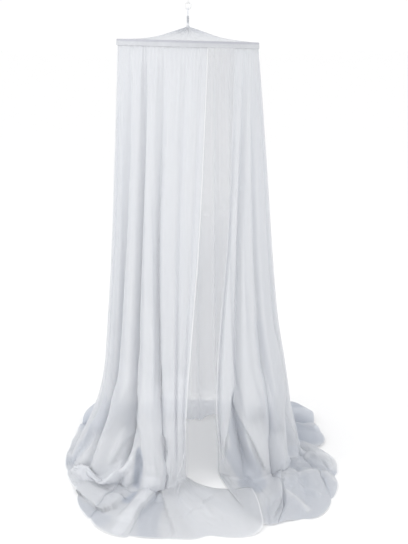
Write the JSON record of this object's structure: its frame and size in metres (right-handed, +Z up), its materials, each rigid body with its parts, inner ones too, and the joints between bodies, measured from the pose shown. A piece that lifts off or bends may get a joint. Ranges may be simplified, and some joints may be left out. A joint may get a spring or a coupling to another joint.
{
  "type": "mosquito net canopy with hoop and ceiling hook",
  "caption": "Round hanging net canopy: net panels gathered on a hoop, open at the front and pooled on the floor, hung by a tape and ring from a ceiling hook.",
  "frame": {"origin": "centre of the ceiling plate's flat top face, where it lies on the ceiling", "axes": "+Z up, -Y towards the front opening, +X to the right as seen from the front"},
  "size_m": [1.424, 1.4544, 2.355],
  "materials": {
    "net": "sheer white net, fine open weave",
    "binding": "white woven tape",
    "white_plastic": "moulded white plastic, satin",
    "white_enamel": "white enamelled steel"
  },
  "bodies": {
    "root": {"ceiling_plate": "white_enamel", "ceiling_hook": "white_enamel", "hanging_ring": "white_plastic", "hanging_tape": "binding", "crown_net": "net", "hoop": "white_plastic", "heading_casing": "binding", "left_net": "net", "right_net": "net"}
  },
  "joints": []
}
